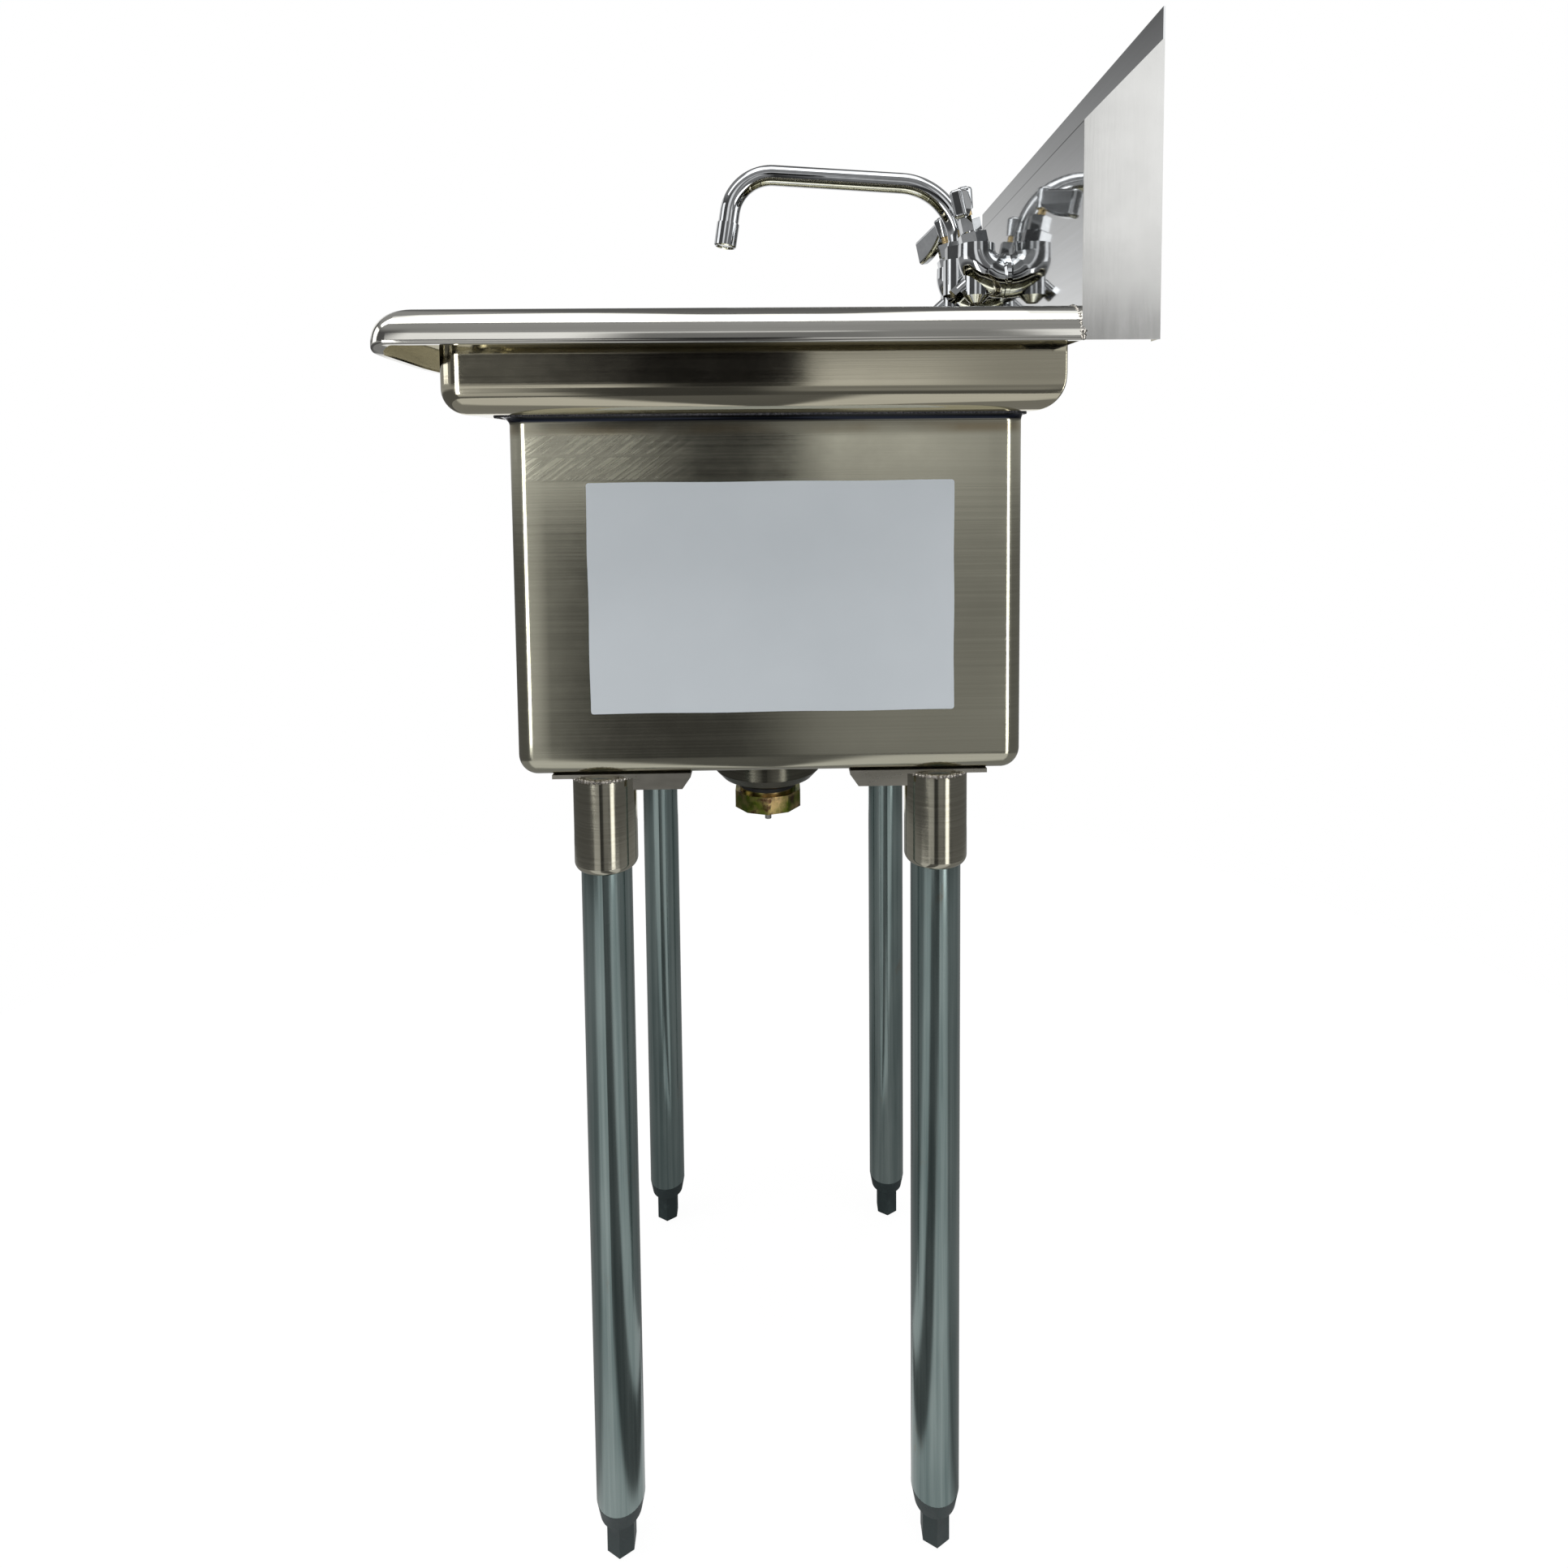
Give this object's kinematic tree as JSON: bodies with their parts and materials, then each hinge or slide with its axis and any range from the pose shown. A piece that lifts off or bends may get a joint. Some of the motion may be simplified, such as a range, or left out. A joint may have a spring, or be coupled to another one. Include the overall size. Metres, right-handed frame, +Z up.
{
  "type": "utility sink",
  "caption": "Free-standing stainless utility sink: rolled rim, deep square bowl, sloped high splash with a two-handle swing-spout tap, basket drain, tubular legs on adjustable feet.",
  "frame": {"origin": "on the floor, below the middle of the overall box", "axes": "+X is the user's right (cold side), +Y points to the wall behind the sink, +Z is up"},
  "size_m": [0.508, 0.508, 1.1485],
  "materials": {
    "brushed_stainless": "fine horizontal brushing, satin",
    "polished_sheet": "bright brushed sheet, nearly mirror smooth",
    "label_film": "blank pale label film, satin",
    "plate_steel": "mill finish plate",
    "socket_steel": "turned and brushed, satin",
    "galvanised_tube": "galvanised tube, streaky satin",
    "foot_plastic": "dark slate moulded plastic",
    "screw_steel": "plain steel screw",
    "drain_steel": "polished stainless strainer",
    "cup_steel": "spun stainless cup",
    "black_rubber": "black rubber",
    "zinc_yellow": "yellow passivated zinc",
    "tap_brass": "machined brass",
    "tap_chrome": "polished chrome plate"
  },
  "bodies": {
    "sink": {"sink_top": "brushed_stainless", "bowl": "brushed_stainless", "side_label": "label_film", "backsplash": "polished_sheet", "splash_end_cap_left": "polished_sheet", "splash_end_cap_right": "polished_sheet", "gusset_front_left": "plate_steel", "leg_socket_front_left": "socket_steel", "leg_front_left": "galvanised_tube", "foot_sleeve_front_left": "foot_plastic", "gusset_front_right": "plate_steel", "leg_socket_front_right": "socket_steel", "leg_front_right": "galvanised_tube", "foot_sleeve_front_right": "foot_plastic", "gusset_rear_left": "plate_steel", "leg_socket_rear_left": "socket_steel", "leg_rear_left": "galvanised_tube", "foot_sleeve_rear_left": "foot_plastic", "gusset_rear_right": "plate_steel", "leg_socket_rear_right": "socket_steel", "leg_rear_right": "galvanised_tube", "foot_sleeve_rear_right": "foot_plastic", "socket_set_screws": "screw_steel", "drain_flange": "drain_steel", "drain_gaskets": "black_rubber", "drain_cup": "cup_steel", "outlet_washer": "black_rubber", "outlet_nut": "zinc_yellow", "drain_screw": "screw_steel", "tap_body": "tap_chrome", "wall_flange_hot": "tap_chrome", "wall_flange_cold": "tap_chrome", "inlet_shank_hot": "tap_brass", "inlet_shank_cold": "tap_brass", "shank_washers": "black_rubber", "shank_locknuts": "tap_brass", "bonnet_nuts": "tap_chrome", "packing_nuts": "tap_chrome", "cartridges": "tap_brass", "body_plugs": "tap_chrome", "spout_bush": "tap_brass", "spout_nut": "tap_chrome"},
    "spout_arm": {"spout": "tap_chrome", "spout_collar": "tap_chrome", "aerator": "tap_chrome"},
    "hot_handle": {"valve_stem_hot": "tap_brass", "lever_handle_hot": "tap_chrome", "handle_screw_hot": "tap_chrome"},
    "cold_handle": {"valve_stem_cold": "tap_brass", "lever_handle_cold": "tap_chrome", "handle_screw_cold": "tap_chrome"},
    "basket": {"strainer_basket": "drain_steel", "basket_post": "drain_steel"},
    "front_left_foot": {"foot_front_left": "foot_plastic"},
    "front_right_foot": {"foot_front_right": "foot_plastic"},
    "rear_left_foot": {"foot_rear_left": "foot_plastic"},
    "rear_right_foot": {"foot_rear_right": "foot_plastic"}
  },
  "joints": [
    {"name": "spout_swivel", "type": "hinge", "parent": "sink", "child": "spout_arm", "pos_m": [0, 0.174, 1.036], "axis": [0, 0, 1], "range_deg": [-90, 90]},
    {"name": "hot_valve", "type": "hinge", "parent": "sink", "child": "hot_handle", "pos_m": [-0.0508, 0.1775, 1.046], "axis": [0, -0.2079, 0.9781], "range_deg": [0, 90]},
    {"name": "cold_valve", "type": "hinge", "parent": "sink", "child": "cold_handle", "pos_m": [0.0508, 0.1775, 1.046], "axis": [0, -0.2079, 0.9781], "range_deg": [-90, 0]},
    {"name": "basket_lift", "type": "slide", "parent": "sink", "child": "basket", "axis": [0, 0, 1], "range_m": [0, 0.09]},
    {"name": "front_left_foot_adjust", "type": "slide", "parent": "sink", "child": "front_left_foot", "axis": [0, 0, 1], "range_m": [-0.008, 0.025]},
    {"name": "front_right_foot_adjust", "type": "slide", "parent": "sink", "child": "front_right_foot", "axis": [0, 0, 1], "range_m": [-0.008, 0.025]},
    {"name": "rear_left_foot_adjust", "type": "slide", "parent": "sink", "child": "rear_left_foot", "axis": [0, 0, 1], "range_m": [-0.008, 0.025]},
    {"name": "rear_right_foot_adjust", "type": "slide", "parent": "sink", "child": "rear_right_foot", "axis": [0, 0, 1], "range_m": [-0.008, 0.025]}
  ]
}
